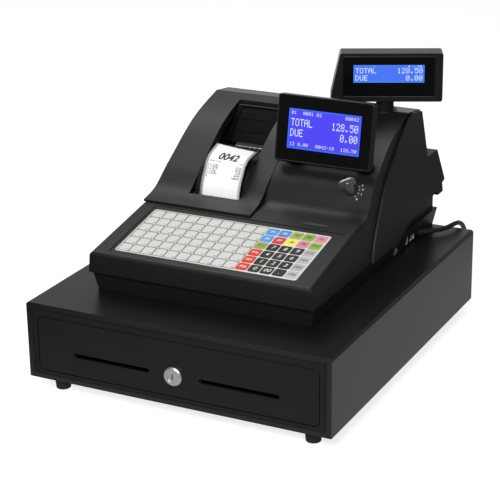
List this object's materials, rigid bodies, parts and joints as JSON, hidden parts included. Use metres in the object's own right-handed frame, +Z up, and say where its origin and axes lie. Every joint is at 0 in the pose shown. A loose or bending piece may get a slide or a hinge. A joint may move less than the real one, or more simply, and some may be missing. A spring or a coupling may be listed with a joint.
{
  "type": "electronic cash register on a cash drawer",
  "caption": "Electronic cash register with a flat sloping keyboard, receipt printer under a hinged cover, tilting operator display and swivelling customer display, on a steel cash drawer.",
  "frame": {"origin": "on the surface it stands on, under the middle of the footprint of cabinet, lock and register, without the mains cord", "axes": "+Z up, -Y towards the operator, +X to the operator's right"},
  "size_m": [0.41, 0.5816, 0.3745],
  "materials": {
    "cabinet_paint": "fine textured powder coat, black",
    "front_plastic": "satin textured moulding, black",
    "foot_rubber": "matt",
    "zinc_steel": "zinc plated",
    "nickel": "nickel plated",
    "tray_paint": "satin grey paint",
    "till_plastic": "moulded black",
    "case_plastic": "fine spark-eroded texture, charcoal black",
    "bezel_plastic": "semi-gloss black",
    "key_sheet": "printed film under a clear gloss coat",
    "printer_plastic": "moulded dark grey",
    "roller_rubber": "ground rubber",
    "board": "solder mask green",
    "bare_metal": "cast and machined",
    "paper": "thermal paper, white",
    "lens": "clear tinted window",
    "display": "backlit blue liquid crystal module",
    "key_metal": "stamped and nickel plated",
    "cord_pvc": "soft black PVC"
  },
  "bodies": {
    "root": {"cabinet_shell": "cabinet_paint", "cabinet_floor": "cabinet_paint", "front_frame": "front_plastic", "rubber_feet": "foot_rubber", "cabinet_rails": "zinc_steel", "latch_bracket": "zinc_steel", "base_case": "case_plastic", "fasteners": "zinc_steel", "port_connectors": "zinc_steel", "circuit_boards": "board", "power_supply": "zinc_steel", "keyboard_housing": "case_plastic", "key_overlay": "key_sheet", "upper_case": "case_plastic", "lower_panel": "case_plastic", "upper_panel": "case_plastic", "mode_lock_bezel": "case_plastic", "cover_hinge_pin": "zinc_steel", "printer_frame": "printer_plastic", "feed_motor": "bare_metal", "print_head": "bare_metal", "receipt_paper": "paper", "screen_bracket": "case_plastic", "screen_pivot_pin": "zinc_steel", "turret_socket": "case_plastic", "strain_relief": "cord_pvc", "power_cord": "cord_pvc", "cord_coil": "cord_pvc", "power_plug": "cord_pvc"},
    "drawer": {"drawer_runners": "zinc_steel", "drawer_tray": "tray_paint", "drawer_front": "front_plastic", "lock_ring": "nickel", "till_insert": "till_plastic", "clip_rod": "zinc_steel"},
    "drawer_lock": {"lock_barrel": "nickel", "lock_cam": "zinc_steel"},
    "latch": {"latch_hook": "zinc_steel"},
    "note_clip_1": {"bill_clip_1": "till_plastic"},
    "note_clip_2": {"bill_clip_2": "till_plastic"},
    "note_clip_3": {"bill_clip_3": "till_plastic"},
    "note_clip_4": {"bill_clip_4": "till_plastic"},
    "cover": {"printer_cover": "case_plastic", "tear_bar": "zinc_steel"},
    "inner_lid": {"paper_lid": "printer_plastic"},
    "platen": {"platen_roller": "roller_rubber", "platen_gear": "printer_plastic"},
    "feed_pinion": {"motor_pinion": "zinc_steel"},
    "roll": {"paper_roll": "paper"},
    "mode_lock": {"mode_lock_barrel": "bezel_plastic", "mode_key": "key_metal"},
    "operator_display": {"screen_back": "case_plastic", "screen_front": "bezel_plastic", "screen_glass": "lens", "screen_lcd": "display"},
    "customer_display": {"turret_pole": "case_plastic", "turret_back": "case_plastic", "turret_front": "bezel_plastic", "turret_glass": "lens", "turret_lcd": "display"}
  },
  "joints": [
    {"name": "drawer_slide", "type": "slide", "parent": "root", "child": "drawer", "axis": [0, -1, 0], "range_m": [0, 0.35]},
    {"name": "drawer_lock_turn", "type": "hinge", "parent": "drawer", "child": "drawer_lock", "pos_m": [0, -0.244, 0.0583], "axis": [0, -1, 0], "range_deg": [0, 90]},
    {"name": "latch_swing", "type": "hinge", "parent": "root", "child": "latch", "pos_m": [0, 0.2175, 0.0557], "axis": [1, 0, 0], "range_deg": [0, 16], "stiffness_Nm_per_rad": 0.05},
    {"name": "note_clip_1_lift", "type": "hinge", "parent": "drawer", "child": "note_clip_1", "pos_m": [-0.12773, 0.1131, 0.07235], "axis": [-1, 0, 0], "range_deg": [0, 40], "stiffness_Nm_per_rad": 0.02, "springref_deg": -20.05},
    {"name": "note_clip_2_lift", "type": "hinge", "parent": "drawer", "child": "note_clip_2", "pos_m": [-0.04258, 0.1131, 0.07235], "axis": [-1, 0, 0], "range_deg": [0, 40], "stiffness_Nm_per_rad": 0.02, "springref_deg": -20.05},
    {"name": "note_clip_3_lift", "type": "hinge", "parent": "drawer", "child": "note_clip_3", "pos_m": [0.04258, 0.1131, 0.07235], "axis": [-1, 0, 0], "range_deg": [0, 40], "stiffness_Nm_per_rad": 0.02, "springref_deg": -20.05},
    {"name": "note_clip_4_lift", "type": "hinge", "parent": "drawer", "child": "note_clip_4", "pos_m": [0.12773, 0.1131, 0.07235], "axis": [-1, 0, 0], "range_deg": [0, 40], "stiffness_Nm_per_rad": 0.02, "springref_deg": -20.05},
    {"name": "cover_lift", "type": "hinge", "parent": "root", "child": "cover", "pos_m": [0, 0.177, 0.287], "axis": [-1, 0, 0], "range_deg": [0, 60]},
    {"name": "inner_lid_lift", "type": "hinge", "parent": "cover", "child": "inner_lid", "pos_m": [-0.06, 0.12181, 0.28532], "axis": [-1, 0, 0], "range_deg": [0, 45]},
    {"name": "platen_turn", "type": "hinge", "parent": "root", "child": "platen", "pos_m": [-0.0538, -0.0136, 0.1905], "axis": [-1, 0, 0], "continuous": true},
    {"name": "pinion_turn", "type": "hinge", "parent": "root", "child": "feed_pinion", "pos_m": [-0.09065, -0.00155, 0.1905], "axis": [-1, 0, 0], "continuous": true},
    {"name": "roll_turn", "type": "hinge", "parent": "root", "child": "roll", "pos_m": [-0.0538, 0.099, 0.2145], "axis": [-1, 0, 0], "continuous": true},
    {"name": "mode_lock_turn", "type": "hinge", "parent": "root", "child": "mode_lock", "pos_m": [0.117, 0.011, 0.22879], "axis": [0, -0.6944, 0.7196], "range_deg": [-60, 120]},
    {"name": "operator_display_tilt", "type": "hinge", "parent": "root", "child": "operator_display", "pos_m": [0.0719, 0.04, 0.259], "axis": [-1, 0, 0], "range_deg": [-10, 20]},
    {"name": "customer_display_swivel", "type": "hinge", "parent": "root", "child": "customer_display", "pos_m": [0.104, 0.149, 0.3105], "axis": [0, 0, 1], "range_deg": [-115, 155]}
  ],
  "couplings": [
    {"joint": "platen_turn", "follows": "roll_turn", "ratio": 5.6364},
    {"joint": "pinion_turn", "follows": "roll_turn", "ratio": -13.527}
  ]
}
